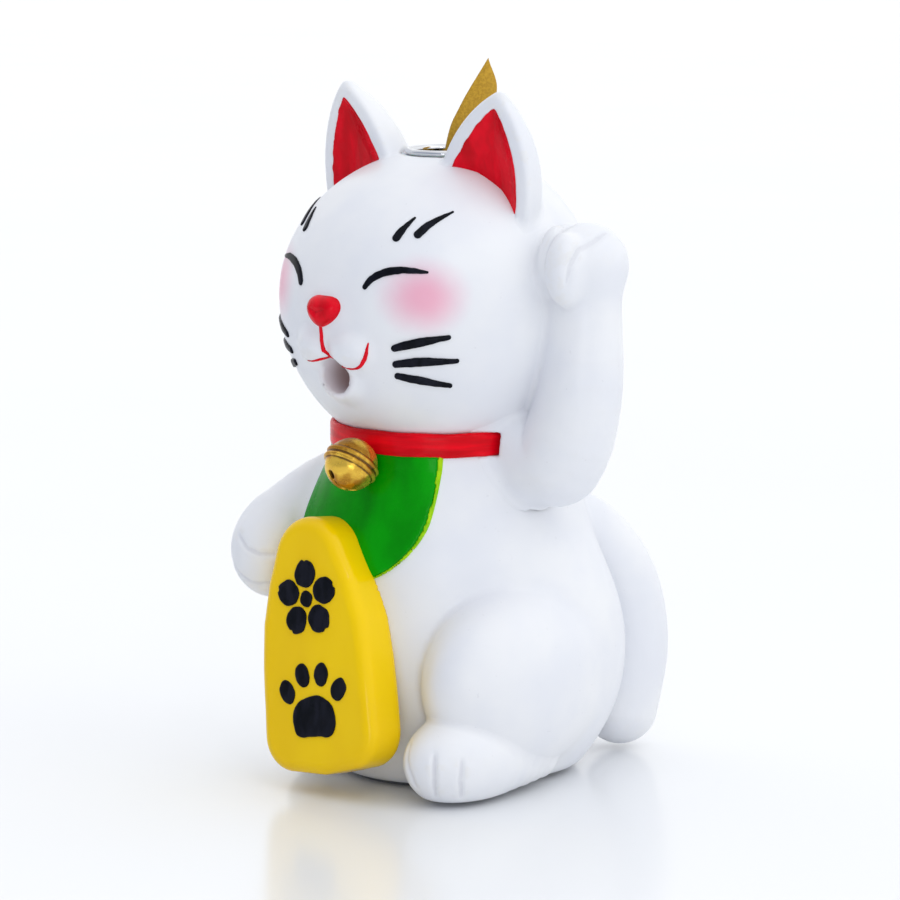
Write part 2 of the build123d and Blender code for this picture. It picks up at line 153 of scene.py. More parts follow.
def hashed(i, j, k):
    n = (i * 374761393 + j * 668265263 + k * 2147483647 + 12345) & 0xFFFFFFFF
    n = ((n ^ (n >> 13)) * 1274126177) & 0xFFFFFFFF
    return ((n ^ (n >> 16)) & 0xFFFF) / 32767.5 - 1.0


def ripple(P, size):
    """Smooth random values between -1 and 1, with features of about that size."""
    q = P / size
    base = np.floor(q).astype(np.int64)
    f = q - base
    f = f * f * (3 - 2 * f)
    total = np.zeros(len(P))
    for dx in (0, 1):
        for dy in (0, 1):
            for dz in (0, 1):
                w = (np.where(dx, f[:, 0], 1 - f[:, 0]) * np.where(dy, f[:, 1], 1 - f[:, 1])
                     * np.where(dz, f[:, 2], 1 - f[:, 2]))
                total += w * hashed(base[:, 0] + dx, base[:, 1] + dy, base[:, 2] + dz)
    return total


# ---- meshing: surface nets on a grid, then relaxed and pulled onto the surface -------------------

CHUNK = 200_000


def evaluate(field, P):
    return np.concatenate([field(P[i:i + CHUNK]) for i in range(0, len(P), CHUNK)])


def sample(field, low, counts, step):
    """The field on a grid. Blocks that are far from the surface get one value."""
    block = 8
    blocks = [-(-c // block) for c in counts]
    V = np.empty([b * block for b in blocks])
    index = np.stack(np.meshgrid(*[np.arange(b) for b in blocks], indexing="ij"), -1).reshape(-1, 3)
    centres = low + (index * block + (block - 1) / 2) * step
    d = evaluate(field, centres)
    reach = 1.6 * step * block * math.sqrt(3) / 2 + step
    inner = np.stack(np.meshgrid(*[np.arange(block)] * 3, indexing="ij"), -1).reshape(-1, 3)
    near = np.abs(d) < reach
    for (i, j, k), value in zip(index[~near] * block, d[~near]):
        V[i:i + block, j:j + block, k:k + block] = value
    close = index[near]
    group = max(1, CHUNK // block**3)
    for g in range(0, len(close), group):
        part = close[g:g + group] * block
        grid = (part[:, None, :] + inner[None]).reshape(-1, 3)
        V[grid[:, 0], grid[:, 1], grid[:, 2]] = field(low + grid * step)
    return V


def nets(V):
    """Vertices in grid units and quads of the zero level."""
    shape = np.array(V.shape) - 1
    strides = np.array([shape[1] * shape[2], shape[2], 1])
    sums = np.zeros((np.prod(shape), 3))
    hits = np.zeros(np.prod(shape))
    quads = []
    for axis in range(3):
        a = np.take(V, range(0, V.shape[axis] - 1), axis=axis)
        b = np.take(V, range(1, V.shape[axis]), axis=axis)
        crossing = (a < 0) != (b < 0)
        at = np.argwhere(crossing)
        va, vb = a[crossing], b[crossing]
        u, v = (axis + 1) % 3, (axis + 2) % 3
        keep = (at[:, u] > 0) & (at[:, v] > 0) & (at[:, u] < shape[u]) & (at[:, v] < shape[v])
        at, va, vb = at[keep], va[keep], vb[keep]
        point = at.astype(float)
        point[:, axis] += va / (va - vb)
        ring = []
        for du, dv in ((0, 0), (-1, 0), (-1, -1), (0, -1)):
            cell = at.copy()
            cell[:, u] += du
            cell[:, v] += dv
            ring.append(cell @ strides)
        for cells in ring:
            hits += np.bincount(cells, minlength=len(hits))
            for c in range(3):
                sums[:, c] += np.bincount(cells, point[:, c], minlength=len(hits))
        ring = np.stack(ring, 1)
        quads.append(np.where((va < 0)[:, None], ring, ring[:, ::-1]))
    used = np.flatnonzero(hits)
    number = np.full(len(hits), -1)
    number[used] = np.arange(len(used))
    return sums[used] / hits[used, None], number[np.concatenate(quads)]


def gradient(field, P, eps):
    slopes = [evaluate(field, P + e) - evaluate(field, P - e) for e in np.eye(3) * eps]
    return np.stack(slopes, 1) / (2 * eps)


def pull(field, P, step, times=2):
    """The points moved along the gradient onto the surface."""
    for _ in range(times):
        d = evaluate(field, P)
        g = gradient(field, P, 0.15 * step)
        g2 = np.maximum((g * g).sum(1), 0.2)
        P = P - g * (np.clip(d, -step, step) / g2)[:, None]
    return P


def relax(P, quads, share=0.5):
    """The points moved part of the way to the middle of their neighbours."""
    total, count = np.zeros_like(P), np.zeros(len(P))
    for i in range(4):
        a, b = quads[:, i], quads[:, (i + 1) % 4]
        count += np.bincount(a, minlength=len(P)) + np.bincount(b, minlength=len(P))
        for c in range(3):
            met = np.bincount(a, P[b, c], minlength=len(P)) + np.bincount(b, P[a, c], minlength=len(P))
            total[:, c] += met
    return P + share * (total / np.maximum(count, 1)[:, None] - P)


def sculpt(field, low, high, step, rounds=2):
    low = np.array(low, float) - 3 * step
    counts = np.ceil((np.array(high, float) + 3 * step - low) / step).astype(int) + 1
    P, quads = nets(sample(field, low, counts, step))
    P = low + P * step
    P = pull(field, P, step)
    for _ in range(rounds):
        P = pull(field, relax(P, quads), step, 1)
    return pull(field, P, step, 1), quads


def bend_of(field, P, size):
    """How hollow the surface is around each point: above 0 in creases, below 0 on edges."""
    total = -6 * evaluate(field, P)
    for e in np.eye(3) * size:
        total += evaluate(field, P + e) + evaluate(field, P - e)
    return -total / size


def mesh_object(name, points, faces):
    mesh = bpy.data.meshes.new(name)
    mesh.from_pydata((points * MM).tolist(), [], np.asarray(faces).tolist())
    mesh.validate()
    mesh.polygons.foreach_set("use_smooth", [True] * len(mesh.polygons))
    mesh.update()
    piece = bpy.data.objects.new(name, mesh)
    bpy.context.scene.collection.objects.link(piece)
    return piece


def finish_piece(piece, body, slot, material, *replaced):
    piece.data.materials.append(material)
    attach(piece, body)
    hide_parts(*replaced)


def node_piece(name, field, step, slot, material, node, grow=1.5, rounds=2, crease=1.6):
    """Meshes a field in the box of the CAD node it stands for, and makes it a piece of the figure."""
    low, high = box_mm(node)
    P, quads = sculpt(field, low - grow, high + grow, step, rounds)
    made = mesh_object(name, P, quads)
    # the hollow attribute drives the painted shade in creases, the worn edges and the gold's patina
    hollow = made.data.attributes.new("hollow", "FLOAT", "POINT")
    hollow.data.foreach_set("value", np.clip(bend_of(field, P, crease), -1, 1).astype(np.float32))
    finish_piece(made, "figure", slot, material, node)


# ---- materials -----------------------------------------------------------------------------------

class Tree:
    """A new material with its Principled shader, and short calls that add nodes."""

    def __init__(self, name, colour, roughness, **constants):
        self.material = bpy.data.materials.new(name)
        self.material.use_nodes = True
        self.material.diffuse_color = (*colour, 1)
        self.nodes, self.links = self.material.node_tree.nodes, self.material.node_tree.links
        self.shader = self.nodes["Principled BSDF"]
        self.shader.inputs["Base Color"].default_value = (*colour, 1)
        self.shader.inputs["Roughness"].default_value = roughness
        for key, value in constants.items():
            self.shader.inputs[key.replace("_", " ")].default_value = value
        self.place = self.nodes.new("ShaderNodeTexCoord").outputs["Object"]

    def join(self, source, target):
        self.links.new(source, target)

    def stretched(self, scale, location=(0, 0, 0)):
        node = self.nodes.new("ShaderNodeMapping")
        node.inputs["Scale"].default_value = scale
        node.inputs["Location"].default_value = location
        self.join(self.place, node.inputs["Vector"])
        return node.outputs["Vector"]

    def noise(self, scale, detail=3.0, roughness=0.5, where=None, distortion=0.0):
        node = self.nodes.new("ShaderNodeTexNoise")
        node.inputs["Scale"].default_value = scale
        node.inputs["Detail"].default_value = detail
        node.inputs["Roughness"].default_value = roughness
        node.inputs["Distortion"].default_value = distortion
        self.join(where or self.place, node.inputs["Vector"])
        return node.outputs["Fac"]

    def attribute(self, name):
        node = self.nodes.new("ShaderNodeAttribute")
        node.attribute_name = name
        return node.outputs["Fac"]

    def ranged(self, value, low, high, to_low=0.0, to_high=1.0):
        node = self.nodes.new("ShaderNodeMapRange")
        node.interpolation_type = "SMOOTHSTEP"
        for key, number in (("From Min", low), ("From Max", high), ("To Min", to_low), ("To Max", to_high)):
            node.inputs[key].default_value = number
        self.join(value, node.inputs["Value"])
        return node.outputs["Result"]

    def math(self, operation, a, b):
        node = self.nodes.new("ShaderNodeMath")
        node.operation = operation
        for socket, value in zip(node.inputs, (a, b)):
            if isinstance(value, (int, float)):
                socket.default_value = value
            else:
                self.join(value, socket)
        return node.outputs["Value"]

    def distance(self, centre, stretch):
        """Distance from a point in metres, along stretched axes."""
        scale = [1 / s for s in stretch]
        moved = self.stretched(scale, location=[-c * k for c, k in zip(centre, scale)])
        node = self.nodes.new("ShaderNodeVectorMath")
        node.operation = "LENGTH"
        self.join(moved, node.inputs[0])
        return node.outputs["Value"]

    def mix(self, factor, a, b):
        node = self.nodes.new("ShaderNodeMix")
        node.data_type = "RGBA"
        for key, value in ((0, factor), (6, a), (7, b)):
            if isinstance(value, (int, float)):
                node.inputs[key].default_value = value
            elif isinstance(value, tuple):
                node.inputs[key].default_value = (*value, 1)
            else:
                self.join(value, node.inputs[key])
        return node.outputs[2]

    def colour(self, socket):
        self.join(socket, self.shader.inputs["Base Color"])

    def rough(self, socket):
        self.join(socket, self.shader.inputs["Roughness"])

    def bump(self, height, strength, distance, below=None):
        node = self.nodes.new("ShaderNodeBump")
        node.inputs["Strength"].default_value = strength
        node.inputs["Distance"].default_value = distance
        self.join(height, node.inputs["Height"])
        if below is not None:
            self.join(below, node.inputs["Normal"])
        self.join(node.outputs["Normal"], self.shader.inputs["Normal"])
        return node.outputs["Normal"]


# shaders see metres, so the places painted on the face are in metres
BLUSH_ACROSS, BLUSH_FORWARD, BLUSH_HEIGHT = 0.0292, -0.0369, 0.1493
BLUSH_PINK = (0.88, 0.27, 0.43)
MOUTH = (0.0, -0.0440, 0.1246)
# the first colour is painted shade inside the mouth's pocket
MOUTH_SHADE, LIP_PINK = (0.26, 0.195, 0.18), (0.78, 0.52, 0.52)
# the first grey is painted shade for the creases
CREASE_SHADE_GREY, WORN_GREY, SPECK_GREY = (0.60, 0.60, 0.66), (0.80, 0.79, 0.77), (0.62, 0.62, 0.66)


def white_paint(name, face=False):
    """Satin white with painted shade grey in the hollows, worn on the edges; the face adds blush and the
    mouth, whose pocket gets painted shade.
    """
    t = Tree(name, (0.86, 0.87, 0.89), 0.42, Coat_Weight=0.2, Coat_Roughness=0.25, IOR=1.45)
    cloudy = t.noise(38, 3)
    colour = t.mix(t.ranged(cloudy, 0.35, 0.68), (0.798, 0.816, 0.866), (0.85, 0.861, 0.887))
    hollow = t.attribute("hollow")
    # painted shade: grey laid into the creases where the hollow attribute is high
    colour = t.mix(t.ranged(hollow, 0.12, 0.9, 0, 0.30), colour, CREASE_SHADE_GREY)
    worn = t.math("MULTIPLY", t.ranged(hollow, -0.1, -0.55, 0, 0.35), t.ranged(t.noise(260, 4), 0.5, 0.62))
    colour = t.mix(worn, colour, WORN_GREY)
    specks = t.ranged(t.noise(620, 2, 0.4), 0.745, 0.775, 0, 0.22)
    colour = t.mix(specks, colour, SPECK_GREY)
    if face:
        for side in (1, -1):
            centre = (side * BLUSH_ACROSS, BLUSH_FORWARD, BLUSH_HEIGHT)
            away = t.distance(centre, (1.15, 1.0, 0.92))
            away = t.math("ADD", away, t.math("MULTIPLY", t.math("SUBTRACT", t.noise(120, 3), 0.5), 0.0022))
            blush = t.ranged(away, 0.0150, 0.0015, 0, 0.72)
            colour = t.mix(blush, colour, BLUSH_PINK)
        split = t.nodes.new("ShaderNodeSeparateXYZ")
        t.join(t.place, split.inputs[0])
        # painted shade: the mouth's pocket is darker the deeper it goes
        mouth_zone = t.ranged(t.distance(MOUTH, (1.0, 9.0, 1.0)), 0.0078, 0.0058)
        deep = t.ranged(split.outputs["Y"], -0.0430, -0.0360)
        colour = t.mix(t.math("MULTIPLY", mouth_zone, deep), colour, MOUTH_SHADE)
        lip = t.math("MULTIPLY", mouth_zone, t.ranged(split.outputs["Y"], -0.0465, -0.0415))
        colour = t.mix(t.math("MULTIPLY", lip, 0.25), colour, LIP_PINK)
    t.colour(colour)
    t.rough(t.ranged(t.noise(90, 4), 0.3, 0.7, 0.36, 0.50))
    peel = t.bump(t.noise(240, 2), 0.10, 0.0004)
    t.bump(t.noise(1500, 3), 0.05, 0.0001, peel)
    return t.material


def enamel(name, dark, light, roughness, streaks=(60, 60, 60), coat=0.16, soft=0.35):
    """Brushed gloss paint: streaks of two near shades, with painted shade darker in the hollows."""
    t = Tree(name, light, roughness, Coat_Weight=coat, Coat_Roughness=0.10, Specular_IOR_Level=0.05)
    brush = t.noise(1.0, 3, 0.5, where=t.stretched(streaks), distortion=0.3)
    colour = t.mix(t.ranged(brush, 0.5 - soft / 2, 0.5 + soft / 2), dark, light)
    # painted shade: the paint darkened in the creases
    deep = tuple(0.45 * c for c in dark)
    colour = t.mix(t.ranged(t.attribute("hollow"), 0.15, 0.9, 0, 0.6), colour, deep)
    t.colour(colour)
    t.rough(t.ranged(t.noise(140, 3), 0.3, 0.7, roughness * 0.8, roughness * 1.35))
    strokes = t.bump(brush, 0.25, 0.0002)
    t.bump(t.noise(900, 2), 0.05, 0.0001, strokes)
    return t.material


WHITE = white_paint("white_glaze")
WHITE_FACE = white_paint("white_glaze_face", face=True)
RED = enamel("red_enamel", (0.56, 0.0005, 0.008), (0.82, 0.001, 0.016), 0.26, (200, 200, 60))
RED_BAND = enamel("red_enamel_band", (0.58, 0.0005, 0.006), (0.88, 0.001, 0.012), 0.24, (45, 45, 420),
                  0.12)
BLACK = enamel("black_enamel", (0.003, 0.004, 0.007), (0.010, 0.011, 0.019), 0.30, (300, 300, 120),
               0.05)
GREEN = enamel("green_enamel", (0.0005, 0.235, 0.0008), (0.001, 0.36, 0.0015), 0.24, (90, 90, 45),
               0.12, 0.5)
# painted highlight: the bib's edge is painted a lighter lime in place of the sheen along it
LIME_EDGE_HIGHLIGHT = enamel("lime_enamel", (0.26, 0.58, 0.002), (0.42, 0.72, 0.004), 0.25, (260, 260, 260))
YELLOW = enamel("yellow_enamel", (0.88, 0.56, 0.0008), (0.97, 0.66, 0.001), 0.20, (30, 30, 12),
                0.3, 0.6)


def antique_gold():
    t = Tree("antique_gold", (0.90, 0.56, 0.08), 0.26, Metallic=0.72)
    colour = t.mix(t.ranged(t.noise(150, 4), 0.36, 0.56), (0.42, 0.19, 0.012), (0.88, 0.56, 0.07))
    colour = t.mix(t.ranged(t.attribute("hollow"), 0.05, 0.6, 0, 0.9), colour, (0.10, 0.045, 0.012))
    t.colour(colour)
    t.rough(t.ranged(t.noise(260, 3), 0.3, 0.7, 0.18, 0.36))
    dents = t.bump(t.noise(170, 2), 0.5, 0.0009)
    t.bump(t.noise(700, 3), 0.2, 0.0002, dents)
    return t.material


def gilt_leaf():
    t = Tree("gilt_leaf", (0.56, 0.33, 0.03), 0.6, Metallic=0.1, Specular_IOR_Level=0.3)
    grain = t.noise(1500, 3, 0.6)
    colour = t.mix(t.ranged(grain, 0.36, 0.64), (0.50, 0.27, 0.018), (0.66, 0.39, 0.035))
    broad = t.ranged(t.noise(60, 3, 0.5), 0.42, 0.62, 0, 0.25)
    colour = t.mix(broad, colour, (0.46, 0.27, 0.03))
    t.colour(colour)
    t.rough(t.ranged(grain, 0.3, 0.7, 0.5, 0.75))
    t.bump(grain, 0.2, 0.00015)
    return t.material


def polished_steel():
    t = Tree("polished_steel", (0.72, 0.73, 0.75), 0.09, Metallic=1.0)
    hair = t.noise(1.0, 3, where=t.stretched((90, 90, 2600)))
    t.colour(t.mix(t.ranged(hair, 0.35, 0.65), (0.60, 0.61, 0.64), (0.80, 0.81, 0.83)))
    t.rough(t.ranged(hair, 0.3, 0.7, 0.06, 0.14))
    t.bump(hair, 0.05, 0.0001)
    return t.material


def silicone():
    t = Tree("silicone", (0.84, 0.85, 0.86), 0.45, Subsurface_Weight=0.3, Subsurface_Scale=0.002)
    t.colour(t.mix(t.ranged(t.noise(180, 3), 0.35, 0.65), (0.76, 0.78, 0.80), (0.90, 0.91, 0.92)))
    t.rough(t.ranged(t.noise(320, 2), 0.3, 0.7, 0.38, 0.52))
    t.bump(t.noise(1100, 2), 0.1, 0.0001)
    return t.material


def base_board():
    t = Tree("base_board", (0.10, 0.095, 0.09), 0.8)
    fibre = t.noise(1.0, 5, 0.6, where=t.stretched((420, 120, 420)))
    t.colour(t.mix(t.ranged(fibre, 0.35, 0.65), (0.07, 0.066, 0.062), (0.16, 0.15, 0.14)))
    t.rough(t.ranged(fibre, 0.3, 0.7, 0.7, 0.9))
    t.bump(fibre, 0.3, 0.0002)
    return t.material


def felt():
    t = Tree("felt", (0.10, 0.10, 0.11), 0.95, Sheen_Weight=0.5, Sheen_Roughness=0.5)
    fuzz = t.noise(2600, 5, 0.7)
    t.colour(t.mix(t.ranged(fuzz, 0.35, 0.65), (0.06, 0.06, 0.066), (0.15, 0.15, 0.16)))
    t.rough(t.ranged(fuzz, 0.3, 0.7, 0.88, 1.0))
    t.bump(fuzz, 0.6, 0.0003)
    return t.material


def refinish(node, material):
    """Gives a CAD node that keeps its shape a better material."""
    mesh = nodes[node].data
    if mesh.materials:
        for i in range(len(mesh.materials)):
            mesh.materials[i] = material
    else:
        mesh.materials.append(material)


# ---- head ----------------------------------------------------------------------------------------

HEAD = (0, 0, 144.5)
HEAD_ACROSS, HEAD_DEEP, HEAD_UP, HEAD_DOWN = 47.2, 47.4, 43.5, 49.0
CROWN_GROWTH = 0.9                    # the head is this much wider at the top
WALL = 4.0
NECK_PASSAGE = 15.0                   # radius of the opening between the head and the body
GAP = 0.02                            # between pieces that meet
cup_low, cup_high = box_mm("steel_cup")
CUP_AXIS = ((cup_low[0] + cup_high[0]) / 2, (cup_low[1] + cup_high[1]) / 2)
gasket_low, gasket_high = box_mm("cup_gasket")
SEAT_RADIUS = (gasket_high[0] - gasket_low[0]) / 2
SEAT_HEIGHT = gasket_high[2] - 0.8
SOCKET_RADIUS = SEAT_RADIUS - 1.1
EARS_CLEAR_ABOVE = 180.0              # above this the ears leave room for the gasket's seat
CROWN_BACK = 3.0                      # the crown sits this far behind the middle of the head


def egg(P, grown=0.0):
    """The head without its face, grown outwards by a distance."""
    q = P - np.array(HEAD, float)
    upper = np.clip(q[:, 2] / HEAD_UP, 0, 1) ** 2
    q[:, 1] -= CROWN_BACK * upper
    wide = grown + CROWN_GROWTH * upper
    tall = np.where(q[:, 2] > 0, HEAD_UP, HEAD_DOWN) + grown
    return stretched_ball(q, np.stack([HEAD_ACROSS + wide, HEAD_DEEP + wide, tall], 1))


def face(P):
    """The head's outside: the egg with jaw, two muzzle pads, nose bridge and the mouth's pocket."""
    Q = P.copy()
    Q[:, 0] = np.abs(Q[:, 0])
    pad = ellipsoid(Q, (6.6, -40.3, 133.2), (8.6, 8.7, 7.0))
    jaw = ellipsoid(P, (0, -36.8, 123.3), (9.0, 9.4, 7.6))
    d = smin(egg(P), jaw, 2.6)
    d = smin(d, pad, 2.4)
    bridge = ellipsoid(P, (0, -40, 143.5), (6.5, 7.4, 8.5))
    d = smin(d, bridge, 5.0)
    recess = ellipsoid(P, (0.5, -44.6, 124.5), (5.2, 11.0, 5.5))
    return smax(d, -recess, 1.0)


def head_field(P):
    z = P[:, 2]
    throat = ellipsoid(P, (0.5, -40, 124.5), (8.0, 9.5, 8.0))
    d = smax(face(P), -smax(egg(P, -WALL), -throat, 1.0), 0.4)
    d = np.maximum(d, -np.maximum(column(P, (0, 0), NECK_PASSAGE), z - HEAD[2]))
    d = np.maximum(d, -np.maximum(column(P, CUP_AXIS, SOCKET_RADIUS + GAP), HEAD[2] - z))
    d = np.maximum(d, -np.maximum(column(P, CUP_AXIS, SEAT_RADIUS + GAP), SEAT_HEIGHT - z))
    vent = capsule(P, (2.2, -36, 125.4), (2.2, -20, 125.4), 1.7, 1.7)
    return smax(d, -vent, 0.6)


def ear_frame(side):
    """An ear's foot, its directions across, forward and up, and its height."""
    base, tip = np.array([side * 24.3, -5.5, 174.0]), np.array([side * 31.2, -6.5, 206.0])
    rise = tip - base
    height = np.linalg.norm(rise)
    w = rise / height
    n = np.array([side * 0.14, -0.99, 0.0])
    n -= w * (n @ w)
    n /= np.linalg.norm(n)
    return base, np.cross(n, w), n, w, height


def arch(across, up, half_width, height):
    """A pointed arch seen from the front, below 0 inside."""
    radius = (half_width**2 + height**2) / (2 * half_width)
    lean = radius - half_width
    side = np.hypot(across + lean, up) - radius
    return np.where((up - height) * lean > across * height, np.hypot(across, up - height), side)


def ear_coordinates(P, side):
    base, u, n, w, height = ear_frame(side)
    q = P - base
    return q @ u, -(q @ n), q @ w, height


EAR_FRONT = 2.5                       # the ear's flat front lies this far before its middle
ROOT_IN_HEAD, ROOT_IN_BODY = 2.5, 3.0     # how deep ears and limbs reach into the castings


def ear_pocket(P, side):
    """How far a point is inside the pocket's outline, and its depth behind the pocket's floor."""
    U, V, W, height = ear_coordinates(P, side)
    inner_corner = 1.5 * np.clip(1 - W / 14, 0, 1) * (U * side > 0)
    outline = arch(np.abs(U) - inner_corner, W + 2.0, 11.8, height - 3.2 + 0.6) - 1.0
    depth = 3.6 * np.clip(-outline / 7.5, 0, 1) ** 0.75
    return outline, V + EAR_FRONT - depth


def ear_solid(P, side):
    U, V, W, height = ear_coordinates(P, side)
    d = arch(np.hypot(U, V / 0.95), W, 13.9, height - 1.9) - 2.8
    return smax(d, -(V + EAR_FRONT), 1.4)


def filleted(d, *neighbours):
    """A form with a fillet against each (field, size) beside it, reaching as far as the widest."""
    whole = d
    for beside, size in neighbours:
        whole = smin(whole, beside + 0.12, size)
    return np.maximum(whole, d - (max(size for _, size in neighbours) + 0.4))


def ear_field(side):
    def field(P):
        outline, behind = ear_pocket(P, side)
        whole = filleted(ear_solid(P, side), (egg(P), 2.0))
        whole = smax(whole, -smax(outline, behind, 0.5), 0.6)
        whole = np.maximum(whole, -egg(P, -ROOT_IN_HEAD))
        seat = np.maximum(column(P, CUP_AXIS, SEAT_RADIUS + 0.5), EARS_CLEAR_ABOVE - P[:, 2])
        return np.maximum(whole, -seat)
    return field


def lining_field(side):
    def field(P):
        outline, behind = ear_pocket(P, side)
        edge = outline + 0.25 + 0.2 * ripple(P, 2.2)
        d = smax(smax(edge, behind - 0.9, 0.5), -behind - 0.45, 0.5)
        return smax(d, -(egg(P) + 0.4), 0.5)
    return field


# ---- body ----------------------------------------------------------------------------------------

BODY_LOW = box_mm("torso_shell")[0][2]
BODY_BACK = 8.0                       # the trunk's middle is this far behind the neck
BODY_ACROSS, BODY_DEEP, BODY_UP = 42.5, 46.5, 75     # half sizes of the trunk's long egg
BODY_HEIGHT = 44                      # of its middle
NECK_RADIUS, NECK_LEDGE = 31.0, 99.75     # above the ledge only the neck goes on, in the collar
HOLLOW_UP = 58                        # half height of the hollow
OPENING_TOP, BOARD_TOP = 44.0, 4.0    # how far up the opening below and the board's recess go


def body(P):
    """The trunk's outside: a long egg, the neck, chest, back and both haunches, cut level below."""
    d = ellipsoid(P, (0, BODY_BACK, BODY_HEIGHT), (BODY_ACROSS, BODY_DEEP, BODY_UP))
    d = smin(d, capsule(P, (0, 2, 70), (0, 0, 98), 36, NECK_RADIUS), 8)
    d = smin(d, ellipsoid(P, (25, 15, 37), (24.4, 31, 34.5)), 12)
    d = smin(d, ellipsoid(P, (-12, -6, 58), (32.2, 32.2, 40)), 6)
    d = smin(d, ellipsoid(P, (-23, 15, 37), (23, 31, 34.5)), 12)
    d = smin(d, ellipsoid(P, (34.5, -3.5, 33.5), (20, 34, 29)), 1.8)
    d = smin(d, ellipsoid(P, (-31, 2, 33), (19, 30, 28)), 3.0)
    return smax(d, BODY_LOW - P[:, 2], 3.0)


def oval(P, across, deep):
    """An upright oval column around the middle of the trunk."""
    return (np.hypot(P[:, 0] / across, (P[:, 1] - BODY_BACK) / deep) - 1) * across


def torso_field(P):
    z = P[:, 2]
    d = np.maximum(body(P), -(egg(P) - 0.03))
    d = np.maximum(d, np.minimum(column(P, (0, 0), NECK_RADIUS), z - NECK_LEDGE))
    hollow = ellipsoid(P, (0, BODY_BACK, BODY_HEIGHT), (BODY_ACROSS - WALL, BODY_DEEP - WALL, HOLLOW_UP))
    d = np.maximum(d, -np.maximum(hollow, BOARD_TOP + 2.0 - z))
    d = np.maximum(d, -np.maximum(column(P, (0, 0), NECK_PASSAGE), OPENING_TOP - z))
    d = np.maximum(d, -np.maximum(oval(P, 22, 24), z - OPENING_TOP))
    return np.maximum(d, -np.maximum(oval(P, 28, 30) - GAP, z - (BOARD_TOP + GAP)))


ARM_STATIONS = (
    (53.2, 6.4, 156, 11.0), (53.0, 6.4, 143, 10.8), (52.6, 6.0, 127, 12.0), (50.6, 5.6, 114, 12.8),
    (46.5, 5.2, 103, 13.6), (40.0, 4.6, 98, 13.6), (20, 2, 108, 12),
)
FINGERS = (((46.8, 4.5, 158.4), 5.2), ((50.0, -2.0, 158.6), 5.4), ((55.4, -4.6, 156.8), 5.8))


def raised_arm_form(P):
    d = limb(P, ARM_STATIONS)
    d = smin(d, ellipsoid(P, (53.3, 6.3, 157.0), (12.0, 13.2, 12.3)), 2.5)
    for centre, r in FINGERS:
        d = smin(d, ellipsoid(P, centre, (r, r + 1, r + 5)), 2.0)
    return d


def settle(form, points):
    """The points moved onto the surface of a form."""
    return pull(form, np.array(points, float), 2.5, 6)


GROOVE_END = 0.2
RAISED_GROOVES = (
    ((48.5, 9.0, 169.5), (50.4, 1.5, 168.8), (52.2, -4.0, 166.6), (52.8, -7.6, 162.5), (52.0, -8.6, 157.5)),
    ((61.0, 8.0, 168.0), (61.8, 0.8, 166.0), (60.9, -4.9, 162.8), (59.9, -8.0, 158.3), (59.2, -8.8, 153.5)),
)


def carve(d, P, form, grooves, radius, k):
    """Cuts grooves along the form's surface, fine at both ends."""
    for points in grooves:
        points = settle(form, points)
        radii = [GROOVE_END] + [radius] * (len(points) - 2) + [GROOVE_END]
        d = smax(d, -chain(P, points, radii), k)
    return d


def raised_arm_field(P):
    d = carve(raised_arm_form(P), P, raised_arm_form, RAISED_GROOVES, 0.8, 1.3)
    whole = filleted(d, (body(P), 5.0), (egg(P), 3.6))
    far = np.maximum(-egg(P, -ROOT_IN_HEAD), -(body(P) + ROOT_IN_BODY))
    collar_slot = np.maximum(column(P, (0, 0), 34.2), np.abs(P[:, 2] - 103.55) - 3.5)
    return np.maximum(np.maximum(whole, far), -collar_slot)


HOLDING_GROOVES = (
    ((-39.8, -43.2, 72.2), (-36.1, -43.9, 68.8), (-32.6, -43.0, 67.6), (-27.0, -42.5, 67.5)),
    ((-46.3, -40.6, 65.6), (-41.2, -41.6, 61.9), (-36.6, -40.4, 59.6), (-30.0, -40.0, 58.5)),
)


def holding_arm_form(P):
    return smin(limb(P, ((-24, -5, 86, 13), (-31.5, -15, 80.5, 13.2), (-37.0, -26.8, 73, 12.6)), 7),
                ellipsoid(P, (-37.3, -32.6, 67.2), (12.5, 13.2, 14.8)), 4)


def holding_arm_field(P):
    d = carve(holding_arm_form(P), P, holding_arm_form, HOLDING_GROOVES, 0.6, 1.4)
    return np.maximum(filleted(d, (body(P), 3.5)), -(body(P) + ROOT_IN_BODY))


LEFT_TOES = (
    ((29.4, -41.4, 17.5), (31.0, -43.0, 13.5), (32.6, -44.3, 10.5), (33.2, -44.3, 6.5)),
    ((38.7, -41.8, 16.2), (40.2, -44.2, 10.4), (38.6, -42.2, 3.6)),
    ((45.0, -37.9, 15.0), (46.2, -39.1, 9.3), (44.3, -36.8, 3.2)),
)
RIGHT_TOES = (
    ((-22.5, -31.5, 15.0), (-22.8, -33.4, 10.0), (-22.5, -32.0, 3.6)),
    ((-30.0, -30.5, 15.5), (-31.0, -33.0, 10.0), (-30.5, -31.0, 3.6)),
)


def foot_field(stations, ball, toes):
    def form(P):
        return smin(limb(P, stations, 8), ellipsoid(P, *ball), 3)

    def field(P):
        d = carve(form(P), P, form, toes, 0.6, 1.4)
        d = smax(d, BODY_LOW - P[:, 2], 1.6)
        whole = np.maximum(filleted(d, (body(P), 2.2)), -(body(P) + ROOT_IN_BODY))
        return np.maximum(whole, BODY_LOW - P[:, 2])
    return field


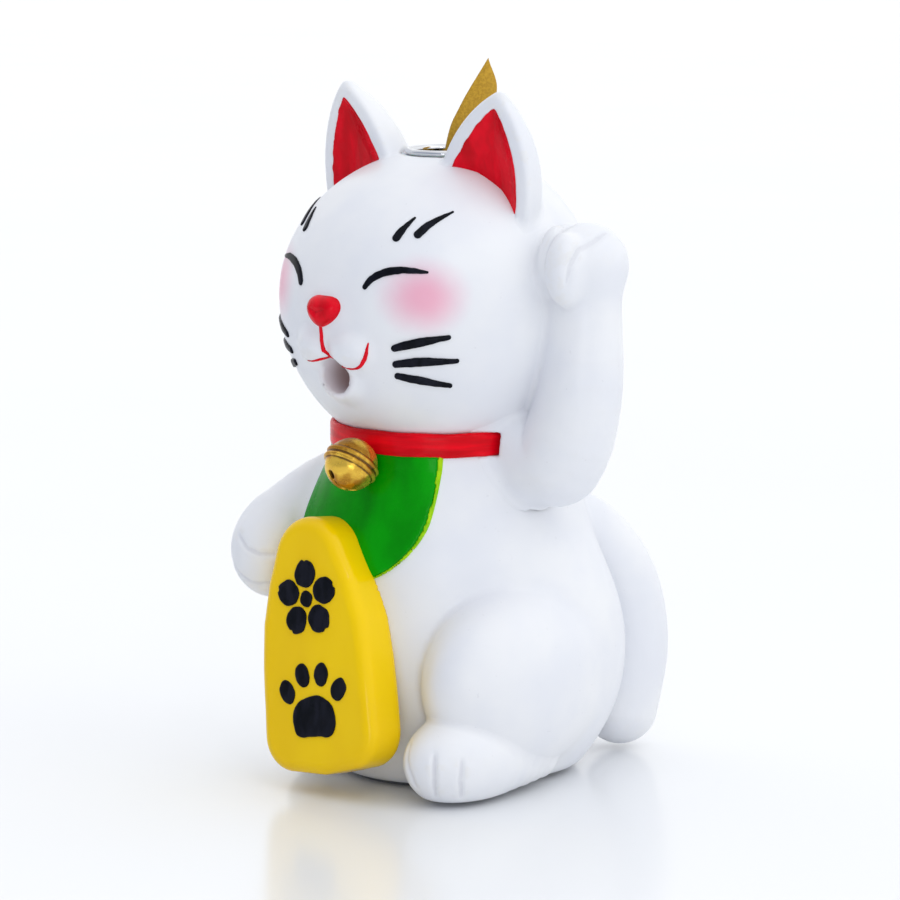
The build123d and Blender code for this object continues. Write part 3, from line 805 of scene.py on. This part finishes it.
# each foot has the stations of its limb, then the centre and radii of its ball
LEFT_FOOT = (((35, -29, 12, 11.2), (37.2, -15, 11, 10.6), (38.2, 2, 8.5, 6.2)),
             ((34.6, -26.0, 12.3), (14.6, 20.2, 14.2)))
RIGHT_FOOT = (((-27, -20, 10.2, 9.4), (-30, -8, 9.6, 9.2), (-33, 4, 8.8, 8.0)),
              ((-27, -18, 10), (12, 15.5, 10.6)))
TAIL_STATIONS = (
    (21.2, 59.4, 12.8, 11.6), (22.9, 61.6, 30, 11.9), (22.6, 60.8, 44, 11.7), (21.0, 57.0, 56.5, 11.3),
    (17.6, 50.0, 67, 10.8), (14.2, 40.5, 73.5, 10.2),
)


def tail_field(P):
    tail = limb(P, TAIL_STATIONS, 16)
    return np.maximum(filleted(tail, (body(P), 2.0)), -(body(P) + ROOT_IN_BODY))


# ---- collar, bib, bell ---------------------------------------------------------------------------

collar_low, collar_high = box_mm("collar")
COLLAR_MIDDLE = (collar_low[2] + collar_high[2]) / 2
COLLAR_HALF = (collar_high[2] - collar_low[2]) / 2
COLLAR_INNER, COLLAR_OUTER = 30.2, 32.3


def collar_field(P):
    angle = np.arctan2(P[:, 0], -P[:, 1])
    r = np.hypot(P[:, 0], P[:, 1])
    swell = 0.14 * np.sin(5 * angle + 0.6) + 0.10 * np.sin(11 * angle + 2.0)
    rise = 0.16 * np.sin(4 * angle + 1.2) + 0.09 * np.sin(13 * angle)
    half = COLLAR_HALF - 0.26
    out = r - (COLLAR_OUTER + swell)
    d = rounded(out, np.abs(P[:, 2] - COLLAR_MIDDLE - rise) - half, 1.1)
    d = np.maximum(d, COLLAR_INNER - r)
    return np.maximum(d, -(egg(P) - GAP))


BIB_MIDDLE, BIB_DROP, BIB_THICK, BIB_TRIM = 84.0, 21.6, 0.9, 0.55
BIB_LEFT, BIB_RIGHT = 22.4, 31.0      # half widths on the two sides


def bib_outline(P):
    """Below the middle the bib is a half ellipse; above it the sides go straight up."""
    x = P[:, 0] + 0.35 * ripple(P * np.array([0, 0, 1.0]), 9.0)
    down = np.minimum(P[:, 2] - BIB_MIDDLE, 0)
    half = np.where(x > 0, BIB_LEFT, BIB_RIGHT)
    return (np.hypot(x / half, down / BIB_DROP) - 1) * (half + BIB_DROP) / 2


def bib_slab(P):
    above = body(P)
    d = rounded(above - BIB_THICK, bib_outline(P), 0.4)
    d = np.maximum(d, -above - 0.4)
    d = np.maximum(d, P[:, 1] + 6)
    return np.maximum(d, P[:, 2] - (collar_low[2] + 0.8))


def cloth_outline(P):
    return bib_outline(P) + BIB_TRIM + 0.09 * ripple(P, 3.5)


def bib_field(P):
    return np.maximum(bib_slab(P) + GAP, cloth_outline(P))


def trim_field(P):
    return np.maximum(bib_slab(P), -cloth_outline(P) - GAP)


BELL = np.array([2.3, -39.5, 97.9])
BELL_TURN = turn("X", -40) @ turn("Z", -19)


def bell_field(P):
    q = (P - BELL) @ BELL_TURN
    r = np.linalg.norm(q, axis=1)
    around = np.hypot(q[:, 0], q[:, 1])
    d = r - 7.8 - 0.10 * ripple(P, 3.0) - 0.05 * ripple(P, 1.2)
    for height in (-1.0, 1.0):
        ring = np.hypot(around - math.sqrt(64 - height**2) + 0.2, q[:, 2] - height) - 0.66
        d = smin(d, ring, 0.4)
    cut = capsule(q, (0, -4.4, -7.2), (0, 4.4, -7.2), 0.55, 0.55)
    for end in (-1, 1):
        cut = smin(cut, capsule(q, (0, end * 5.4, -8.4), (0, end * 3.0, -4.7), 1.45, 1.45), 0.4)
    d = smax(d, -cut, 0.5)
    return np.maximum(d, -(column(P, (0, 0), 32.4)))


# ---- coin ----------------------------------------------------------------------------------------

COIN = np.array([-3.8, -43.5, 43.5])
COIN_TURN = turn("Z", 3) @ turn("X", -6) @ turn("Y", -10)
COIN_HALF_THICKNESS = 8.0


def tangent_arcs(x, y, arcs):
    """Points along an outline that starts level; each arc has a radius, a sweep and a length."""
    points, heading = [(x, y)], 0.0
    for radius, sweep, length in arcs:
        steps = max(1, round(sweep / 9))
        for _ in range(steps):
            run = length or 2 * radius * math.sin(math.radians(sweep / steps / 2))
            middle = heading + sweep / steps / 2
            x += run * math.cos(math.radians(middle))
            y -= run * math.sin(math.radians(middle))
            heading += sweep / steps
            points.append((x, y))
    return points


# radius and sweep of each arc from the middle of the top; the straight run has a length instead
COIN_ARCS = [(13.2, 63, 0), (86.0, 25, 0), (0, 0, 21.1), (10.5, 80, 0), (64.0, 12, 0)]
COIN_OUTLINE = tangent_arcs(0, 38.3, COIN_ARCS)
COIN_OUTLINE[-1] = (0.0, COIN_OUTLINE[-1][1])


def coin_local(P):
    return (P - COIN) @ COIN_TURN


def coin_field(P):
    q = coin_local(P)
    u, v, w = q.T
    uneven = 0.18 * ripple(q, 16.0) + 0.05 * ripple(q, 6.0)
    edge = inside_outline(u, w, COIN_OUTLINE) + 0.1 - uneven
    d = rounded(edge, np.abs(v) - COIN_HALF_THICKNESS + 0.2 - uneven, 3.6)
    return np.maximum(d, -(body(P) + 0.2))


BLOSSOM_HEIGHT, PETAL_REACH = 14.0, 7.4


def ornament_field(P):
    """A five-petalled blossom over a paw print, laid on thickly with a brush."""
    q = coin_local(P)
    u, v, w = q.T
    u = u + 0.28 * ripple(q, 2.6) + 0.12 * ripple(q, 1.1)
    w = w + 0.28 * ripple(q + 40, 2.6) + 0.12 * ripple(q + 70, 1.1)
    marks = np.hypot(u, w - BLOSSOM_HEIGHT) - 2.4
    for i in range(5):
        a = math.radians(90 + 72 * i)
        cu, cw = PETAL_REACH * math.cos(a), BLOSSOM_HEIGHT + PETAL_REACH * math.sin(a)
        along = (u - cu) * math.cos(a) + (w - cw) * math.sin(a)
        across = -(u - cu) * math.sin(a) + (w - cw) * math.cos(a)
        petal = (np.hypot(along / 4.2, across / 3.9) - 1) * 3.9
        notch = np.hypot(along - 4.6, across) - 0.9
        marks = np.minimum(marks, np.maximum(petal, -notch))
    pad = (np.hypot(u / 8.2, (w + 20.5) / 6.0) - 1) * 6.0
    pad = smin(pad, np.hypot(np.abs(u) - 4.6, w + 23.2) - 3.6, 1.5)
    marks = np.minimum(marks, pad)
    for cu, cw, tilt in ((-10.2, -13.0, 24), (-3.7, -8.4, 8), (3.7, -8.4, -8), (10.2, -13.0, -24)):
        a = math.radians(tilt)
        x = (u - cu) * math.cos(a) + (w - cw) * math.sin(a)
        y = -(u - cu) * math.sin(a) + (w - cw) * math.cos(a)
        marks = np.minimum(marks, (np.hypot(x / 2.7, y / 3.6) - 1) * 2.7)
    surface = coin_field(P)
    d = smax(marks, surface - 0.62, 0.55)
    d = np.maximum(d, -surface - 0.5)
    return np.maximum(d, v)


# ---- painted face --------------------------------------------------------------------------------

def on_face(x, z):
    """The point of the face straight behind (x, z) as seen from the front."""
    low, high = -58.0, -20.0
    for _ in range(30):
        middle = (low + high) / 2
        if face(np.array([[x, middle, z]]))[0] > 0:
            low = middle
        else:
            high = middle
    return (x, high, z)


FAR_SHIFT = 1.5                       # the cat's right side is painted this much further out


def widened(strokes):
    return [[(x + FAR_SHIFT, z, w) for x, z, w in points] for points in strokes]


def stroke_set(near_side, far_side, lift):
    """Brush strokes that lie on the face, each a list of (x, z, half width), for the two sides."""
    lines = []
    for side, strokes in ((1, near_side), (-1, far_side)):
        for points in strokes:
            lines.append(([on_face(side * x, z) for x, z, _ in points], [w for _, _, w in points]))

    def field(P):
        above = face(P)
        d = np.full(len(P), 99.0)
        for points, radii in lines:
            d = np.minimum(d, chain(P, points, radii))
        d = d + 0.10 * ripple(P, 1.3)
        return smax(d, np.maximum(above - lift, -above - 0.35), 0.45)
    return field


def smooth_stroke(points, count=14):
    """More points along a stroke, on a curve through the given ones."""
    return [tuple(p) for p in through(points, count)]


EYES_FAR = [smooth_stroke([(12.4, 151.2, 1.15), (14.6, 154.2, 1.25), (18.8, 156.4, 1.2),
                           (24.0, 157.2, 1.0), (30.0, 156.6, 0.50)])]
EYES = [smooth_stroke([(13.3, 151.8, 0.85), (15.2, 154.3, 1.05), (18.8, 156.2, 1.18),
                       (23.5, 156.9, 1.02), (28.9, 156.4, 0.50)])]
BROWS = [
    smooth_stroke([(18.2, 165.8, 1.35), (18.7, 167.9, 1.10), (20.0, 171.2, 0.40)]),
    smooth_stroke([(23.2, 166.8, 1.35), (24.5, 169.5, 1.10), (27.3, 172.8, 0.35)]),
]
WHISKERS = [
    smooth_stroke([(21.6, 134.3, 1.10), (27.5, 136.0, 1.36), (34.4, 137.7, 0.75)], 8),
    smooth_stroke([(21.0, 129.4, 1.10), (27.5, 130.3, 1.40), (34.9, 130.5, 0.75)], 8),
    smooth_stroke([(20.6, 125.8, 1.10), (25.8, 124.6, 1.34), (31.6, 123.0, 0.80)], 8),
]
PHILTRUM = smooth_stroke([(-1.6, 139.2, 0.60), (-1.6, 135.4, 0.62), (-1.2, 132.0, 0.62)], 8)
LIP_LEFT = smooth_stroke([(-1.2, 132.0, 0.60), (0.6, 130.4, 0.50), (3.6, 128.5, 0.36), (7.6, 127.3, 0.34),
                          (11.0, 128.2, 0.60), (13.6, 131.2, 0.66), (14.5, 135.4, 0.22)], 16)
LIP_RIGHT = smooth_stroke([(0.6, 130.4, 0.50), (-3.4, 129.2, 0.42), (-6.6, 128.4, 0.38),
                           (-9.4, 128.5, 0.20)], 10)
NOSE_OUTLINE = through([(0, 148.5), (3.0, 148.4), (5.4, 147.4), (6.5, 145.2), (5.9, 142.9), (4.3, 141.0),
                        (1.9, 139.5), (0, 138.9)], 22)


def nose_field(P):
    """A rounded triangle that stands on its point, domed in front."""
    lean = 0.14 * np.clip(148.0 - P[:, 2], 0, 10)
    outline = inside_outline(P[:, 0] + lean, P[:, 2], NOSE_OUTLINE)
    above = face(P)
    d = smax(outline, above - 2.7 + 0.3 * np.abs(outline + 3.0), 2.6)
    return np.maximum(smax(d, -(above + 0.6), 0.3), P[:, 1])


# ---- making the pieces ---------------------------------------------------------------------------

node_piece("head_shell_skin", head_field, 1.15, "white_glaze", WHITE_FACE, "head_shell")
node_piece("torso_skin", torso_field, 1.25, "white_glaze", WHITE, "torso_shell")
for side, word in ((1, "left"), (-1, "right")):
    node_piece(f"ear_{word}_skin", ear_field(side), 0.75, "white_glaze", WHITE, f"ear_{word}", grow=3)
    node_piece(f"ear_lining_{word}_skin", lining_field(side), 0.42, "red_enamel", RED,
               f"ear_lining_{word}", grow=3, rounds=1, crease=0.8)
node_piece("raised_arm_skin", raised_arm_field, 0.95, "white_glaze", WHITE, "raised_arm", grow=6)
node_piece("holding_arm_skin", holding_arm_field, 0.85, "white_glaze", WHITE, "holding_arm", grow=5)
node_piece("foot_left_skin", foot_field(*LEFT_FOOT, LEFT_TOES), 0.8, "white_glaze", WHITE,
           "foot_left", grow=4)
node_piece("foot_right_skin", foot_field(*RIGHT_FOOT, RIGHT_TOES), 0.8, "white_glaze", WHITE,
           "foot_right", grow=4)
node_piece("tail_skin", tail_field, 1.0, "white_glaze", WHITE, "tail", grow=4)
node_piece("collar_band", collar_field, 0.6, "red_enamel", RED_BAND, "collar", crease=0.8)
node_piece("bib_cloth", bib_field, 0.6, "green_enamel", GREEN, "bib", crease=0.8, grow=9)
# the bib's edge in lighter lime, a painted highlight
node_piece("bib_edge", trim_field, 0.45, "lime_enamel", LIME_EDGE_HIGHLIGHT, "bib_trim", crease=0.6, grow=9)
node_piece("bell_ball", bell_field, 0.33, "antique_gold", antique_gold(), "bell", crease=0.7)
node_piece("coin_slab", coin_field, 0.85, "yellow_enamel", YELLOW, "coin", grow=2)
node_piece("coin_marks", ornament_field, 0.36, "black_enamel", BLACK, "coin_ornament", rounds=1,
           crease=0.5)
node_piece("nose_tip", nose_field, 0.35, "red_enamel", RED, "nose", grow=2, crease=0.8)
for name, near_side, far_side, lift, slot, material, node in (
        ("mouth_strokes", [PHILTRUM, LIP_LEFT, LIP_RIGHT], [], 0.42, "red_enamel", RED, "mouth_lines"),
        ("eye_strokes", EYES, EYES_FAR, 0.5, "black_enamel", BLACK, "eye_lines"),
        ("brow_strokes", BROWS, widened(BROWS), 0.5, "black_enamel", BLACK, "brow_marks"),
        ("whisker_strokes", WHISKERS, widened(WHISKERS), 0.7, "black_enamel", BLACK, "whisker_marks")):
    node_piece(name, stroke_set(near_side, far_side, lift), 0.3, slot, material, node,
               grow=2, rounds=1, crease=0.5)

refinish("steel_cup", polished_steel())
refinish("cup_gasket", silicone())
refinish("base_plate", base_board())
refinish("base_felt", felt())


# ---- leaf ----------------------------------------------------------------------------------------

LEAF_TURN, LEAF_BACK = 43.25, 5.35    # the way it faces, and how far behind the cup's axis it stands


def leaf():
    """A gilded leaf: two curved edges, a raised midrib, a little cupped."""
    rows, columns, thick = 90, 14, 0.5
    inner = np.array(smooth_stroke([(-3.0, 131, 0), (-3.3, 160, 0), (0.4, 188.8, 0), (4.7, 200.3, 0),
                                    (13.0, 214.5, 0)], rows))
    outer = np.array(smooth_stroke([(-3.0, 131, 0), (2.6, 160, 0), (7.4, 188.2, 0), (15.4, 203.5, 0),
                                    (13.0, 214.5, 0)], rows))
    turned = math.radians(LEAF_TURN)
    across = np.array([math.cos(turned), math.sin(turned), 0])
    back = np.array([-math.sin(turned), math.cos(turned), 0])
    origin = np.array([CUP_AXIS[0], CUP_AXIS[1], 0])
    fronts, backs = [], []
    for i in range(rows):
        for j in range(columns + 1):
            s = j / columns
            x = inner[i, 0] * (1 - s) + outer[i, 0] * s
            z = inner[i, 1] * (1 - s) + outer[i, 1] * s
            width = abs(outer[i, 0] - inner[i, 0]) + 0.01
            rib = 0.16 * math.exp(-((s - 0.5) * width / 0.5) ** 2)
            cupped = 0.35 * (2 * s - 1) ** 2 * min(1, width / 6)
            edge = min(1, min(s, 1 - s) * 9 + 0.12)
            middle = LEAF_BACK + cupped
            half = thick / 2 * edge * min(1, width / 1.2 + 0.1)
            fronts.append(origin + across * x + back * (middle - half - rib * edge) + np.array([0, 0, z]))
            backs.append(origin + across * x + back * (middle + half) + np.array([0, 0, z]))
    n = columns + 1
    count = rows * n
    faces = []
    for i in range(rows - 1):
        for j in range(columns):
            a = i * n + j
            faces.append((a, a + 1, a + n + 1, a + n))
            faces.append((count + a, count + a + n, count + a + n + 1, count + a + 1))
        for j, flip in ((0, False), (columns, True)):
            a, b = i * n + j, (i + 1) * n + j
            quad = (a, b, count + b, count + a)
            faces.append(quad[::-1] if flip else quad)
    for i, flip in ((0, True), (rows - 1, False)):
        for j in range(columns):
            a = i * n + j
            quad = (a, a + 1, count + a + 1, count + a)
            faces.append(quad[::-1] if not flip else quad)
    made = mesh_object("gilded_leaf", np.array(fronts + backs), faces)
    finish_piece(made, "leaf", "gilt_leaf", gilt_leaf(), "gold_leaf")


leaf()


# ---- floor, light and camera ---------------------------------------------------------------------

def floor_material():
    t = Tree("studio_floor", (0.85, 0.865, 0.89), 0.2, IOR=1.45, Specular_IOR_Level=0.45)
    t.colour(t.mix(t.ranged(t.noise(3.0, 2), 0.35, 0.65), (0.845, 0.86, 0.885), (0.855, 0.87, 0.89)))
    t.rough(t.ranged(t.noise(7.0, 2), 0.3, 0.7, 0.185, 0.20))
    return t.material


FLOOR_HALF = 8.0                      # lengths are in metres from here on
FLOOR_BELOW = 0.0001
floor_corners = [(x * FLOOR_HALF, y * FLOOR_HALF, 0) for x, y in ((-1, -1), (1, -1), (1, 1), (-1, 1))]
floor_mesh = bpy.data.meshes.new("studio_floor")
floor_mesh.from_pydata(floor_corners, [], [(0, 1, 2, 3)])
floor = bpy.data.objects.new("studio_floor", floor_mesh)
floor.location.z = CAD_LOW[2] - FLOOR_BELOW
bpy.context.scene.collection.objects.link(floor)
floor_mesh.materials.append(floor_material())

TENT_OPENING = -8.0                   # azimuth of the tent's open side
OPENING_LEVEL, OPENING_DOWN = 0.92, -0.39
OPENING_FROM, OPENING_TO = -0.10, 0.80
TENT_BACK, TENT_FRONT = (1.12, 1.13, 1.145), (0.385, 0.425, 0.52)


def studio_world():
    """A bright tent that is open, and so dimmer, in front of the cat."""
    world = bpy.data.worlds.new("studio")
    bpy.context.scene.world = world
    world.use_nodes = True
    shaders, links = world.node_tree.nodes, world.node_tree.links
    place = shaders.new("ShaderNodeTexCoord")
    toward = shaders.new("ShaderNodeVectorMath")
    toward.operation = "DOT_PRODUCT"
    a = math.radians(TENT_OPENING)
    level = (math.sin(a) * OPENING_LEVEL, -math.cos(a) * OPENING_LEVEL)
    toward.inputs[1].default_value = (*level, OPENING_DOWN)
    links.new(place.outputs["Generated"], toward.inputs[0])
    ramp = shaders.new("ShaderNodeValToRGB")
    ramp.color_ramp.interpolation = "EASE"
    stops = ramp.color_ramp.elements
    stops[0].position, stops[0].color = 0.0, (*TENT_BACK, 1)
    stops[1].position, stops[1].color = 1.0, (*TENT_FRONT, 1)
    spread = shaders.new("ShaderNodeMapRange")
    spread.inputs["From Min"].default_value = OPENING_FROM
    spread.inputs["From Max"].default_value = OPENING_TO
    links.new(toward.outputs["Value"], spread.inputs["Value"])
    links.new(spread.outputs["Result"], ramp.inputs["Fac"])
    links.new(ramp.outputs["Color"], shaders["Background"].inputs["Color"])
    shaders["Background"].inputs["Strength"].default_value = 1.0


studio_world()
bpy.context.scene.view_settings.view_transform = "Standard"


def outward(azimuth, elevation):
    """The direction out from the cat; azimuth 0 is its front."""
    a, e = math.radians(azimuth), math.radians(elevation)
    return Vector((math.sin(a) * math.cos(e), -math.cos(a) * math.cos(e), math.sin(e)))


def softbox(name, azimuth, elevation, distance, size, watts):
    """A square area light that faces the middle of the cat."""
    aim = Vector((0, 0, 0.10))
    away = outward(azimuth, elevation)
    data = bpy.data.lights.new(name, "AREA")
    data.shape = "SQUARE"
    data.size = size
    data.energy = watts
    lamp = bpy.data.objects.new(name, data)
    lamp.location = aim + away * distance
    lamp.rotation_euler = away.to_track_quat("Z", "Y").to_euler()
    bpy.context.scene.collection.objects.link(lamp)


softbox("side_light", 105, 50, 1.2, 0.7, 0.9)
softbox("catch_light", 58, 42, 1.3, 0.09, 0.45)
softbox("fill_light", 42, 3, 1.3, 0.4, 1.3)

CAMERA_AZIMUTH, CAMERA_ELEVATION, FOCAL_PIXELS, PICTURE = 43.25, 9.0, 4600.0, 900
CAMERA_PLACE = (0.93684, -0.99058, 0.31332)
SENSOR_WIDTH = 36.0
back = outward(CAMERA_AZIMUTH, CAMERA_ELEVATION)
turned = math.radians(CAMERA_AZIMUTH)
right = Vector((math.cos(turned), math.sin(turned), 0))
up = back.cross(right)
camera_data = bpy.data.cameras.new("camera")
camera_data.sensor_width = SENSOR_WIDTH
camera_data.lens = FOCAL_PIXELS / PICTURE * SENSOR_WIDTH
camera_data.clip_start, camera_data.clip_end = 0.05, 50.0
camera = bpy.data.objects.new("camera", camera_data)
facing = Matrix((right, up, back)).transposed().to_4x4()
camera.matrix_world = Matrix.Translation(CAMERA_PLACE) @ facing
bpy.context.scene.collection.objects.link(camera)
bpy.context.scene.camera = camera
